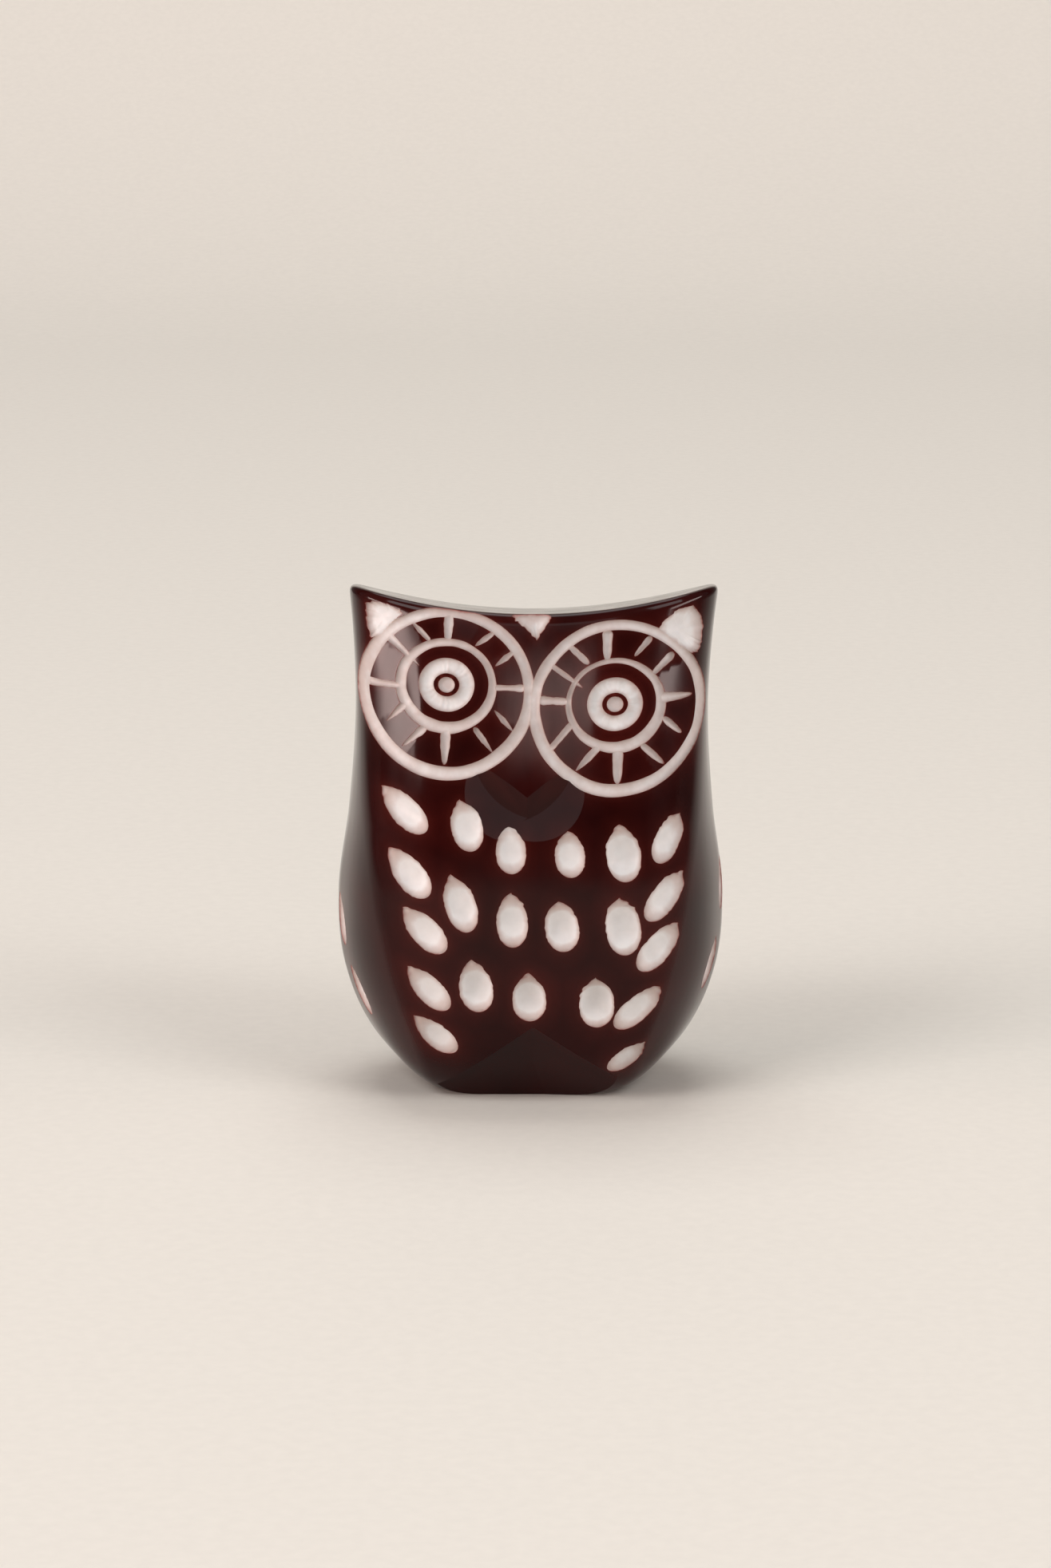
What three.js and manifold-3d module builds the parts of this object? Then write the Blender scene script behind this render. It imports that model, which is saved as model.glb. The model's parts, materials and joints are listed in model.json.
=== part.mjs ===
// A small owl figurine, carved from one blank of pale, dense nut ivory whose outside is dyed dark brown.
// The dyed layer is modelled as a thin skin over a pale core. Every ring, ray and seed is a cut that goes
// through the skin into the core, so the rings also cut the skin of each eye into separate islands.
// Units are millimetres. +Z is up, the face looks along -Y and the base stands on z = 0.

import * as THREE from 'three';
import { mergeVertices } from 'three/addons/utils/BufferGeometryUtils.js';
import Module from 'manifold-3d';

const wasm = await Module();
wasm.setup();

// ---------- driving dimensions ----------

const SKIN = 0.35;         // thickness of the dyed skin
const CLEARANCE = 0.05;    // air between skin and core
const GROOVE = 0.62;       // depth of rings and rays below the polished surface
const GOUGE = 0.95;        // depth of the ear and brow cuts
const SEED_DEPTH = 0.85;   // depth of a seed scoop
const SEED_TAPER = 0.3;    // how much narrower than a plain oval its tip is

// Half width, and depth in front of and behind the axis, as [height, size].
const HALF_WIDTH = [
  [0, 8.6], [4, 12.35], [9, 14.55], [15, 15.1], [22, 14.25], [30, 13.75], [36, 13.98], [41, 14.5],
];
const FRONT = [[0, 7.3], [4, 9.8], [9, 11.4], [15, 12.0], [22, 11.6], [30, 10.4], [36, 9.2], [41, 8.0]];
const BACK = [[0, 7.0], [4, 9.2], [9, 11.2], [15, 12.0], [22, 11.3], [30, 9.4], [36, 7.6], [41, 6.4]];
// Distance from the middle of the soft crease where the breast turns into the side.
const CREASE = [[0, 7.4], [5, 8.6], [9, 9.9], [15, 11.3], [21, 12.2], [28, 13.0], [35, 13.7], [41, 14.4]];
const FRONT_POWER = 3.0;   // how square the section is in front
const BACK_POWER = 2.5;    // and behind
const TOP_MIDDLE = 38.7;   // height of the head's front edge in the middle
const EAR_RISE = 2.2;      // how much higher the edge is at the ears
const EAR_X = 14.0;
const TOP_SLOPE = THREE.MathUtils.degToRad(8.5);   // the top falls towards the back
const TOP_FRONT = 8.8;     // distance from the axis to the head's front edge
const LEAN = 0.3;          // how far the hand-shaped head sits to one side
const TALLEST = 41;        // height at which the size lists end
const TOP_ROUND = 0.8;     // softness of the top edge
const BASE_ROUND = 2.0;    // softness of the base edge
const CREASE_ROUND = 0.4;  // softness of the side creases
const CREASE_FLAT = 0.55;  // how far the side is flattened from the crease to its widest line
const CREASE_MARGIN = 0.05;                        // the crease stays this far inside the widest line
const SIDE_BULGE = 0.15;   // how far outside the widest line the flattened side is aimed
const CENTRE = new THREE.Vector3(0, 0, 18);        // every point of the surface is seen from here

const OPEN_TOP = 44;       // where the wall is cut off when the saddle is left out
const BEYOND = 60;         // farther from the middle than any surface
const HALVINGS = 50;       // steps of the search for the surface
const EDGE_STEPS = 12;     // steps of the search for the top edge
const ON_AXIS = 0.001;     // closer to the axis than this counts as on it
const COLUMNS = 24;        // facets round the body
const SIDE_ROWS = [0.3, 1.5, 4.5, 8.5, 13, 18, 23, 28.5, 34];
const EDGE_ROWS = [0.9, 0.15];                     // distances below the top edge
const OPEN_ROWS = [OPEN_TOP - 4, OPEN_TOP];        // rows that stand in for them with an open top
const TOP_ROWS = [0.96, 0.85, 0.45];               // fractions of the way out on the top
const BASE_ROWS = [0.66, 0.9];                     // and on the base, where the first is still flat

// Each eye: outer ring, iris ring and pupil, as centre and half sizes across and up.
// A ray is [clock hour, start, end], measured from the iris centre in mm.
const EYES = [
  {
    side: 'left',
    ring: { x: -6.45, z: 32.75, rx: 6.35, rz: 6.05 },
    iris: { x: -6.4, z: 33.35, rx: 3.52, rz: 3.2 },
    rays: [[12, 3.4, 5.3], [1, 3.4, 5.2], [2, 4.15, 5.5], [3, 3.6, 6.4], [4, 4.15, 5.6], [5, 3.4, 5.7],
      [6, 3.2, 5.9], [7, 3.4, 5.6], [8, 3.4, 5.4], [9, 3.6, 6.8], [10, 2.4, 6.4], [11, 3.5, 5.2]],
    fields: [['side', 9, 10], ['upper', 10, 15], ['lower', 3, 9]],
  },
  {
    side: 'right',
    ring: { x: 6.7, z: 31.6, rx: 6.4, rz: 6.2 },
    iris: { x: 6.45, z: 31.9, rx: 3.54, rz: 3.26 },
    rays: [[12, 3.3, 5.4], [1, 4.2, 5.4], [2, 3.4, 5.7], [3, 3.6, 6.1], [4, 3.6, 5.7], [5, 3.5, 5.5],
      [6, 3.3, 5.7], [7, 3.4, 5.6], [8, 3.5, 6.3], [9, 3.6, 6.4], [10, 2.5, 6.6], [11, 4.2, 6.2]],
    fields: [['lower_side', 8, 9], ['side', 9, 10], ['main', 10, 20]],
  },
];
const RING_STEPS = 24;     // straight pieces in a drawn circle
const FRONT_REACH = 20;    // how far in front of the axis the drawn cuts start
const RING_WIDTH = 0.85;
const IRIS_RING_WIDTH = 0.765;
const RAY_WIDTH = 0.75;
const RAY_POINT = 0.3;     // length of a ray's pointed end
const RAY_SHOULDER = 0.7;  // its width there, as a share of RAY_WIDTH
const FIELD_REACH = 11;    // farther from the iris centre than any point of the eye
const PUPIL = { outer: 2.12, ringOuter: 1.0, ringInner: 0.69 };   // white annulus, dark ring, white dot
const PUPIL_SQUASH = 0.88;

const SEED_COLUMNS = 8;    // facets round a seed scoop
const SEED_ROWS = 4;       // and along it
// Seed-shaped scoops on the breast: [x, z, length, width, lean of the tip to the right in degrees], and
// for seeds that run into the dishes beside the beak, how much deeper they go.
const BREAST_SEEDS = [
  [-9.8, 23.8, 5.0, 2.2, -53], [-9.4, 19.0, 4.8, 2.3, -45], [-8.2, 14.6, 4.6, 2.2, -45],
  [-7.9, 9.9, 4.6, 2.2, -42], [-7.4, 6.0, 4.3, 2.1, -44],
  [-4.9, 22.8, 4.0, 2.4, -15, 0.3], [-5.4, 16.8, 4.7, 2.4, -18], [-4.2, 10.2, 4.4, 2.5, -8],
  [-1.5, 20.9, 3.5, 2.3, -4, 0.45], [-1.4, 15.5, 4.2, 2.4, -2], [-0.1, 9.3, 4.1, 2.6, -3],
  [3.0, 20.6, 3.5, 2.3, -6, 0.25], [2.4, 15.0, 3.9, 2.6, -8], [5.1, 8.8, 4.3, 2.7, -4],
  [7.1, 20.6, 4.5, 2.7, -8], [7.1, 14.9, 4.6, 2.7, -9],
  [10.6, 21.5, 4.3, 2.1, 34], [10.4, 17.1, 4.8, 2.2, 43], [9.9, 13.1, 4.7, 2.2, 43],
  [8.3, 8.2, 4.7, 2.1, 46], [7.5, 3.9, 3.6, 1.8, 43],
];
// Wing seeds on the left and right sides: [y, z, lean of the tip backwards in degrees].
const LEFT_WING_SEEDS = [
  [-1.8, 13.3, 20], [-3.8, 8.0, 24], [0.9, 9.4, 18], [2.2, 18.4, 16], [3.6, 12.8, 20],
];
const RIGHT_WING_SEEDS = [
  [-0.9, 16.0, 14], [-3.0, 10.0, 20], [1.6, 11.2, 18], [2.4, 20.4, 14], [3.9, 15.0, 18],
];
const WING_SEED = { length: 4.2, width: 2.0 };
// Rows of seeds on the back: [height, number of seeds, distance between them].
const BACK_ROWS = [[22.5, 3, 5.4], [16.5, 4, 5.0], [10.5, 3, 5.4]];
const BACK_SEED = { length: 4.0, width: 2.3 };

// Ear gouges and brow cut, as outlines [x, z].
const LEFT_EAR = [
  [-12.7, 39.0], [-11.3, 39.3], [-9.7, 38.6], [-10.8, 37.7], [-11.6, 36.5], [-12.3, 36.4], [-12.7, 37.6],
];
const RIGHT_EAR = [
  [12.6, 39.0], [13.1, 38.2], [13.25, 36.4], [12.8, 35.3], [11.7, 35.8], [9.8, 37.3], [11.2, 38.9],
];
const BROW = [[-1.6, 39.6], [1.7, 39.6], [1.7, 38.5], [0.5, 36.7], [-1.6, 38.5]];

// The beak is left standing between two round scoops. It has a flat ridge and a plane wall on each side.
const BEAK_X = -0.55;
const BEAK_SCOOP = { apart: 0.95, z: 25.3, radius: 15.0, width: 4.05, across: 32, down: 24 };
const BEAK_RIDGE_TOP = [-0.25, -11.22, 24.8];
const BEAK_TIP = [-0.25, -11.0, 22.2];
const BEAK_SHOULDER = [1.85, -10.97, 26.5];        // on the right; the left one is its mirror image

// The notch between the feet: an upside-down V, its flat floors meeting in a valley with a third facet.
const FOOT_OUTLINE = [[0.2, 6.8], [-7.6, 0.9], [-9, -1], [9, -1], [7.2, 1.75]];
const VALLEY_TOP = [0.2, -10.8, 6.7];
const VALLEY_FOOT = [0.2, -5.4, 0];
const FOOT_LEFT = [-7.2, -6.67, 1.2];
const FOOT_RIGHT = [6.7, -7.9, 2.1];
const FACET_TOP = [0.2, -8.14, 3.4];
const FACET_FOOT = [0.2, -5.52, 0];

const NUT = new THREE.MeshStandardMaterial({ color: 0xe4dcd6, roughness: 0.6, metalness: 0 });
const DYED = new THREE.MeshStandardMaterial({ color: 0x3a1512, roughness: 0.12, metalness: 0 });

// ---------- the shape of the blank ----------

// Smooth curve through [height, size] pairs.
function sizeAt(pairs, z) {
  const last = pairs.length - 1;
  const height = THREE.MathUtils.clamp(z, pairs[0][0], pairs[last][0]);
  const slope = (i) => (pairs[i + 1][1] - pairs[i][1]) / (pairs[i + 1][0] - pairs[i][0]);
  const tangent = (i) => {
    if (i === 0) return slope(0);
    if (i === last) return slope(last - 1);
    return (slope(i - 1) + slope(i)) / 2;
  };
  let i = 0;
  while (i < last - 1 && height > pairs[i + 1][0]) i++;
  const span = pairs[i + 1][0] - pairs[i][0];
  const u = (height - pairs[i][0]) / span;
  return (1 + 2 * u) * (1 - u) ** 2 * pairs[i][1] + u * (1 - u) ** 2 * span * tangent(i)
    + u * u * (3 - 2 * u) * pairs[i + 1][1] + u * u * (u - 1) * span * tangent(i + 1);
}

// The larger of two values, with the corner between them rounded off.
function softMax(a, b, width) {
  const h = THREE.MathUtils.clamp(0.5 + 0.5 * (a - b) / width, 0, 1);
  return b + (a - b) * h + width * h * (1 - h);
}

// Negative inside the blank, zero on its surface. An open top leaves out the saddle between the ears.
function blankField(point, inset, openTop) {
  const x = point.x - LEAN * (THREE.MathUtils.clamp(point.z, 0, TALLEST) / TALLEST) ** 3;
  const { y, z } = point;
  const width = sizeAt(HALF_WIDTH, z);
  const front = sizeAt(FRONT, z);
  const depth = y < 0 ? front : sizeAt(BACK, z);
  const power = y < 0 ? FRONT_POWER : BACK_POWER;
  const scale = ((Math.abs(x) / width) ** power + (Math.abs(y) / depth) ** power) ** (1 / power);
  const radius = Math.hypot(x, y);
  let field = radius < ON_AXIS ? -depth : radius * (1 - 1 / scale);

  const crease = Math.min(sizeAt(CREASE, z), width - CREASE_MARGIN);
  const creaseDepth = front * (1 - (crease / width) ** FRONT_POWER) ** (1 / FRONT_POWER);
  const run = width - crease;
  const side = ((Math.abs(x) - width - SIDE_BULGE) * creaseDepth - y * run) / Math.hypot(creaseDepth, run);
  field += CREASE_FLAT * (softMax(field, side, CREASE_ROUND) - field) + inset;

  if (!openTop) {
    const saddle = TOP_MIDDLE + EAR_RISE * (x / EAR_X) ** 2 - Math.tan(TOP_SLOPE) * (y + TOP_FRONT);
    field = softMax(field, (z - saddle) * Math.cos(TOP_SLOPE) + inset, TOP_ROUND);
  }
  return softMax(field, openTop ? -z - 2 : -z + inset, BASE_ROUND);
}

// Where the line from one point towards another leaves the blank.
function surfacePoint(from, towards, inset = 0, openTop = false) {
  const direction = towards.clone().sub(from).normalize();
  const point = new THREE.Vector3();
  let near = 0;
  let far = BEYOND;
  for (let step = 0; step < HALVINGS; step++) {
    const middle = (near + far) / 2;
    point.copy(direction).multiplyScalar(middle).add(from);
    if (blankField(point, inset, openTop) < 0) near = middle;
    else far = middle;
  }
  return point;
}

// The sharp-edged guide point of the wall at an angle round the axis and a height.
function wallPoint(angle, z) {
  const axis = new THREE.Vector3(0, 0, z);
  return surfacePoint(axis, new THREE.Vector3(Math.cos(angle), Math.sin(angle), z), 0, true);
}

function topPoint(x, y) {
  const saddle = TOP_MIDDLE + EAR_RISE * (x / EAR_X) ** 2 - Math.tan(TOP_SLOPE) * (y + TOP_FRONT);
  return new THREE.Vector3(x, y, saddle);
}

function topEdge(angle) {
  let z = TOP_MIDDLE;
  for (let step = 0; step < EDGE_STEPS; step++) {
    const wall = wallPoint(angle, z);
    z = topPoint(wall.x, wall.y).z;
  }
  return z;
}

// Guide points from base to top, one list per column.
function guideColumns(openTop) {
  const columns = [];
  for (let i = 0; i < COLUMNS; i++) {
    const angle = (i + 0.5) / COLUMNS * 2 * Math.PI;
    const edge = topEdge(angle);
    const foot = wallPoint(angle, 0);
    const column = BASE_ROWS.map((part) => new THREE.Vector3(foot.x * part, foot.y * part, 0));
    SIDE_ROWS.forEach((z) => column.push(wallPoint(angle, z)));
    if (openTop) {
      OPEN_ROWS.forEach((z) => column.push(wallPoint(angle, z)));
    } else {
      EDGE_ROWS.forEach((drop) => column.push(wallPoint(angle, edge - drop)));
      const rim = wallPoint(angle, edge);
      TOP_ROWS.forEach((part) => column.push(topPoint(rim.x * part, rim.y * part)));
    }
    columns.push(column);
  }
  return columns;
}

// ---------- solids ----------

function toSolid(geometry) {
  const bare = geometry.index ? geometry.clone() : geometry;
  bare.deleteAttribute('normal');
  bare.deleteAttribute('uv');
  const merged = mergeVertices(bare, 1e-4);
  const mesh = new wasm.Mesh({
    numProp: 3,
    vertProperties: new Float32Array(merged.attributes.position.array),
    triVerts: new Uint32Array(merged.index.array),
  });
  return new wasm.Manifold(mesh);
}

function joinAll(solids) {
  return solids.reduce((whole, solid) => whole.add(solid));
}

const GUIDES = guideColumns(false);
const OPEN_GUIDES = guideColumns(true);

// The closed blank, its surface moved inwards by an inset.
function blankSolid(inset, openTop = false) {
  const guides = openTop ? OPEN_GUIDES : GUIDES;
  const rows = guides[0].length;
  const points = guides.flatMap((column) => column.map((guide) => (
    openTop && guide.z === OPEN_TOP ? shrunk(guide, inset) : surfacePoint(CENTRE, guide, inset, openTop)
  )));
  const bottom = points.length;
  const top = bottom + 1;
  const summit = new THREE.Vector3(0, 0, OPEN_TOP);
  points.push(surfacePoint(CENTRE, new THREE.Vector3(0, 0, -1), inset, openTop));
  points.push(openTop ? summit : surfacePoint(CENTRE, summit, inset));
  const faces = [];
  for (let i = 0; i < COLUMNS; i++) {
    const here = i * rows;
    const next = ((i + 1) % COLUMNS) * rows;
    for (let j = 0; j < rows - 1; j++) {
      faces.push(here + j, next + j, next + j + 1, here + j, next + j + 1, here + j + 1);
    }
    faces.push(bottom, next, here, top, here + rows - 1, next + rows - 1);
  }
  const geometry = new THREE.BufferGeometry().setFromPoints(points);
  geometry.setIndex(faces);
  return toSolid(geometry);
}

// A point on the rim of the open top, moved towards the axis.
function shrunk(guide, inset) {
  const radius = Math.hypot(guide.x, guide.y);
  return new THREE.Vector3(guide.x, guide.y, 0).multiplyScalar((radius - inset) / radius).setZ(guide.z);
}

// A prism whose outline is drawn on the front (x, z) and which runs backwards from in front of the owl.
function frontPrism(shape) {
  const options = { depth: FRONT_REACH, bevelEnabled: false, curveSegments: RING_STEPS / 2 };
  const geometry = new THREE.ExtrudeGeometry(shape, options);
  geometry.rotateX(Math.PI / 2);
  return toSolid(geometry);
}

function outlineShape(outline) {
  return new THREE.Shape(outline.map(([x, z]) => new THREE.Vector2(x, z)));
}

function ellipseShape({ x, z, rx, rz }, grow = 0) {
  const shape = new THREE.Shape();
  shape.absellipse(x, z, rx + grow, rz + grow, 0, 2 * Math.PI);
  return shape;
}

function ringShape(oval, width) {
  const shape = ellipseShape(oval, width / 2);
  shape.holes.push(ellipseShape(oval, -width / 2));
  return shape;
}

// Everything on the outer side of a plane, as a big block.
function outside(point, normal, inset) {
  const geometry = new THREE.BoxGeometry(BEYOND, BEYOND, BEYOND);
  geometry.translate(0, 0, BEYOND / 2);
  const turn = new THREE.Quaternion().setFromUnitVectors(new THREE.Vector3(0, 0, 1), normal);
  geometry.applyQuaternion(turn);
  const origin = point.clone().addScaledVector(normal, -inset);
  geometry.translate(origin.x, origin.y, origin.z);
  return toSolid(geometry);
}

// The same, from three points, with the normal on the side that a hint points to.
function outsidePlane(a, b, c, hint, inset) {
  const [p, q, r] = [a, b, c].map((corner) => new THREE.Vector3(...corner));
  const normal = q.clone().sub(p).cross(r.clone().sub(p)).normalize();
  if (normal.dot(new THREE.Vector3(...hint)) < 0) normal.negate();
  return outside(p, normal, inset);
}

const deepGuard = blankSolid(GROOVE, true);
const gougeGuard = blankSolid(GOUGE, true);

// ---------- shaping cuts, made before dyeing, so the skin follows them ----------

function eyeDisc(eye, grow) {
  return frontPrism(ellipseShape(eye.ring, grow));
}

function beakScoop(side, inset) {
  const { apart, z, radius, width, across, down } = BEAK_SCOOP;
  const x = BEAK_X + side * apart;
  const middle = surfacePoint(new THREE.Vector3(x, 0, z), new THREE.Vector3(x, -1, z));
  const sink = Math.sqrt(radius ** 2 - width ** 2);
  const geometry = new THREE.SphereGeometry(radius + inset, across, down);
  geometry.rotateX(Math.PI / 2);
  const ball = middle.clone().addScaledVector(outwardAt(middle), sink);
  geometry.translate(ball.x, ball.y, ball.z);
  const [ridgeX] = BEAK_RIDGE_TOP;
  const [shoulderX, ...shoulderRest] = BEAK_SHOULDER;
  const shoulder = [ridgeX + side * (shoulderX - ridgeX), ...shoulderRest];
  const wall = outsidePlane(BEAK_RIDGE_TOP, BEAK_TIP, shoulder, [side, -0.2, -0.3], inset);
  return toSolid(geometry).intersect(wall);
}

function footNotch(inset) {
  const hint = [0, -1, -0.3];
  const floors = outsidePlane(VALLEY_TOP, VALLEY_FOOT, FOOT_LEFT, hint, inset)
    .intersect(outsidePlane(VALLEY_TOP, VALLEY_FOOT, FOOT_RIGHT, hint, inset))
    .intersect(outsidePlane(FACET_TOP, FACET_FOOT, [3, FACET_FOOT[1], 0], hint, inset));
  const outline = FOOT_OUTLINE.map(([x, z]) => [x, z + inset]);
  return frontPrism(outlineShape(outline)).intersect(floors);
}

function shapedBlank(inset) {
  const scoops = beakScoop(-1, inset).add(beakScoop(1, inset));
  const clearOfEyes = EYES.reduce((left, eye) => left.subtract(eyeDisc(eye, -inset)), scoops);
  return blankSolid(inset).subtract(clearOfEyes).subtract(footNotch(inset));
}

// ---------- carving cuts, made after dyeing, which show the pale core ----------

function rayOutline(eye, [hour, start, end]) {
  const angle = Math.PI / 2 - hour * Math.PI / 6;
  const squash = eye.iris.rz / eye.iris.rx;
  const along = [Math.cos(angle), Math.sin(angle)];
  const width = RAY_WIDTH / 2;
  const corners = [
    [start, 0],
    [start + RAY_POINT, RAY_SHOULDER],
    [(start + end) / 2, 1],
    [end - RAY_POINT, RAY_SHOULDER],
    [end, 0],
  ];
  const rim = [...corners, ...corners.slice(1, -1).reverse().map(([reach, half]) => [reach, -half])];
  return rim.map(([reach, half]) => [
    eye.iris.x + along[0] * reach - along[1] * half * width,
    eye.iris.z + (along[1] * reach + along[0] * half * width) * squash,
  ]);
}

function pupilOval(eye, radius) {
  return { x: eye.iris.x, z: eye.iris.z, rx: radius, rz: radius * PUPIL_SQUASH };
}

function eyeCuts(eye) {
  const annulus = ellipseShape(pupilOval(eye, PUPIL.outer));
  annulus.holes.push(ellipseShape(pupilOval(eye, PUPIL.ringOuter)));
  const shapes = [
    ringShape(eye.ring, RING_WIDTH),
    ringShape(eye.iris, IRIS_RING_WIDTH),
    annulus,
    ellipseShape(pupilOval(eye, PUPIL.ringInner)),
    ...eye.rays.map((ray) => outlineShape(rayOutline(eye, ray))),
  ];
  return joinAll(shapes.map((shape) => frontPrism(shape))).subtract(deepGuard);
}

// A scoop shaped like a seed: round at the bottom and pointed at the tip.
function seedScoop(anchor, outward, { length, width, lean }) {
  const geometry = new THREE.SphereGeometry(1, SEED_COLUMNS, SEED_ROWS);
  geometry.rotateX(Math.PI / 2);
  const position = geometry.attributes.position;
  for (let i = 0; i < position.count; i++) {
    const rise = position.getZ(i);
    const taper = 1 - SEED_TAPER * Math.max(rise, 0) ** 1.5;
    const across = position.getX(i) * width / 2 * taper;
    position.setXYZ(i, across, position.getY(i) * SEED_DEPTH, rise * length / 2);
  }
  const up = new THREE.Vector3(0, 0, 1).addScaledVector(outward, -outward.z).normalize();
  const sideways = up.clone().cross(outward).normalize();
  const frame = new THREE.Matrix4().makeBasis(sideways, outward.clone().negate(), up);
  geometry.rotateY(THREE.MathUtils.degToRad(lean));
  geometry.applyMatrix4(frame);
  geometry.translate(anchor.x, anchor.y, anchor.z);
  return toSolid(geometry);
}

function outwardAt(point) {
  const step = 0.02;
  const slope = ['x', 'y', 'z'].map((axis) => {
    const ahead = point.clone();
    const behind = point.clone();
    ahead[axis] += step;
    behind[axis] -= step;
    return blankField(ahead, 0, false) - blankField(behind, 0, false);
  });
  return new THREE.Vector3(...slope).normalize();
}

// Finds the surface by looking from inside the owl along one of its four directions.
function seedOn(inside, direction, size, sink = 0) {
  const anchor = surfacePoint(inside, inside.clone().add(direction));
  const outward = outwardAt(anchor);
  return seedScoop(anchor.addScaledVector(outward, -sink), outward, size);
}

function seedCuts() {
  const [right, left] = [new THREE.Vector3(1, 0, 0), new THREE.Vector3(-1, 0, 0)];
  const [back, front] = [new THREE.Vector3(0, 1, 0), new THREE.Vector3(0, -1, 0)];
  const seeds = BREAST_SEEDS.map(([x, z, length, width, lean, sink]) => (
    seedOn(new THREE.Vector3(x, 0, z), front, { length, width, lean }, sink)
  ));
  LEFT_WING_SEEDS.forEach(([y, z, lean]) => {
    seeds.push(seedOn(new THREE.Vector3(0, y, z), left, { ...WING_SEED, lean: -lean }));
  });
  RIGHT_WING_SEEDS.forEach(([y, z, lean]) => {
    seeds.push(seedOn(new THREE.Vector3(0, y, z), right, { ...WING_SEED, lean }));
  });
  BACK_ROWS.forEach(([z, count, apart]) => {
    for (let i = 0; i < count; i++) {
      const x = (i - (count - 1) / 2) * apart;
      seeds.push(seedOn(new THREE.Vector3(x, 0, z), back, { ...BACK_SEED, lean: 0 }));
    }
  });
  return joinAll(seeds);
}

function gougeCuts() {
  const gouges = [LEFT_EAR, RIGHT_EAR, BROW].map((outline) => frontPrism(outlineShape(outline)));
  return joinAll(gouges).subtract(gougeGuard);
}

const carving = joinAll([...EYES.map(eyeCuts), seedCuts(), gougeCuts()]);

// ---------- pieces ----------

const core = shapedBlank(SKIN + CLEARANCE).subtract(carving);
const skin = shapedBlank(0).subtract(shapedBlank(SKIN)).subtract(carving);

const group = new THREE.Group();

function addPiece(name, solid, material) {
  const { vertProperties, triVerts } = solid.getMesh();
  const geometry = new THREE.BufferGeometry();
  geometry.setAttribute('position', new THREE.BufferAttribute(new Float32Array(vertProperties), 3));
  geometry.setIndex(new THREE.BufferAttribute(new Uint32Array(triVerts), 1));
  const mesh = new THREE.Mesh(geometry, material);
  mesh.name = name;
  group.add(mesh);
}

// A wedge of the face, from one clock hour round to another, about the iris centre.
function wedge(eye, from, to) {
  const steps = Math.max(2, to - from);
  const outline = [[eye.iris.x, eye.iris.z]];
  for (let i = 0; i <= steps; i++) {
    const angle = Math.PI / 2 - (from + (to - from) * i / steps) * Math.PI / 6;
    outline.push([eye.iris.x + FIELD_REACH * Math.cos(angle), eye.iris.z + FIELD_REACH * Math.sin(angle)]);
  }
  return frontPrism(outlineShape(outline));
}

addPiece('carved_core', core, NUT);
const underSkin = blankSolid((SKIN + GROOVE) / 2, true);
const islands = EYES.map((eye) => eyeDisc(eye, 0).subtract(underSkin));
addPiece('dyed_skin', islands.reduce((left, disc) => left.subtract(disc), skin), DYED);
EYES.forEach((eye, index) => {
  const iris = frontPrism(ellipseShape(eye.iris));
  const pupil = frontPrism(ellipseShape(pupilOval(eye, (PUPIL.outer + PUPIL.ringOuter) / 2)));
  const field = skin.intersect(islands[index]).subtract(iris);
  addPiece(`${eye.side}_pupil_ring`, skin.intersect(pupil), DYED);
  addPiece(`${eye.side}_iris_band`, skin.intersect(iris).subtract(pupil), DYED);
  eye.fields.forEach(([place, from, to]) => {
    addPiece(`${eye.side}_eye_${place}_field`, field.intersect(wedge(eye, from, to)), DYED);
  });
});

export default group;
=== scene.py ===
# A small carved owl: pale nut ivory under a dark, dyed and polished skin, cut through with rings, rays and
# seed-shaped scoops. The fine pieces made here stand for the faceted CAD nodes of the same names.
# Shape sizes are in millimetres in the row frame: +Z up, the face looks along -Y. Meshes are made in metres.

import json
import math

import bpy
import numpy as np
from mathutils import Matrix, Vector
from mathutils.kdtree import KDTree

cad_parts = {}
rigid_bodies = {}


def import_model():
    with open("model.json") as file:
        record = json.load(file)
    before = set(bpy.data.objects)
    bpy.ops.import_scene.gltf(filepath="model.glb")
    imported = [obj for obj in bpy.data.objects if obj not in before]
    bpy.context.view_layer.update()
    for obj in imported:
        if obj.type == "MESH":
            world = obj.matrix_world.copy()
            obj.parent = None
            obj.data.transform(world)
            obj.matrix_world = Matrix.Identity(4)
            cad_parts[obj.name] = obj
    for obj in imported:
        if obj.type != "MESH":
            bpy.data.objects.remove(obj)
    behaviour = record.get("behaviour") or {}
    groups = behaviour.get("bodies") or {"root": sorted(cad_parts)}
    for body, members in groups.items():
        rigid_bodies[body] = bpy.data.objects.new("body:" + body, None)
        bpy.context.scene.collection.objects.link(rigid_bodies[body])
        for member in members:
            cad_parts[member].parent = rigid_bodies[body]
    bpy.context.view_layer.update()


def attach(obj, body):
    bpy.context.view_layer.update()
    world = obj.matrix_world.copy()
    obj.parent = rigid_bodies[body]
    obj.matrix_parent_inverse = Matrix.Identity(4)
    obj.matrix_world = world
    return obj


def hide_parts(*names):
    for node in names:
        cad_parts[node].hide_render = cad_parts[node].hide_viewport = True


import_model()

MM = 0.001
rng = np.random.default_rng(11)    # the one source of every wobble and chip

# ---------- sizes of the blank ----------

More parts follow.
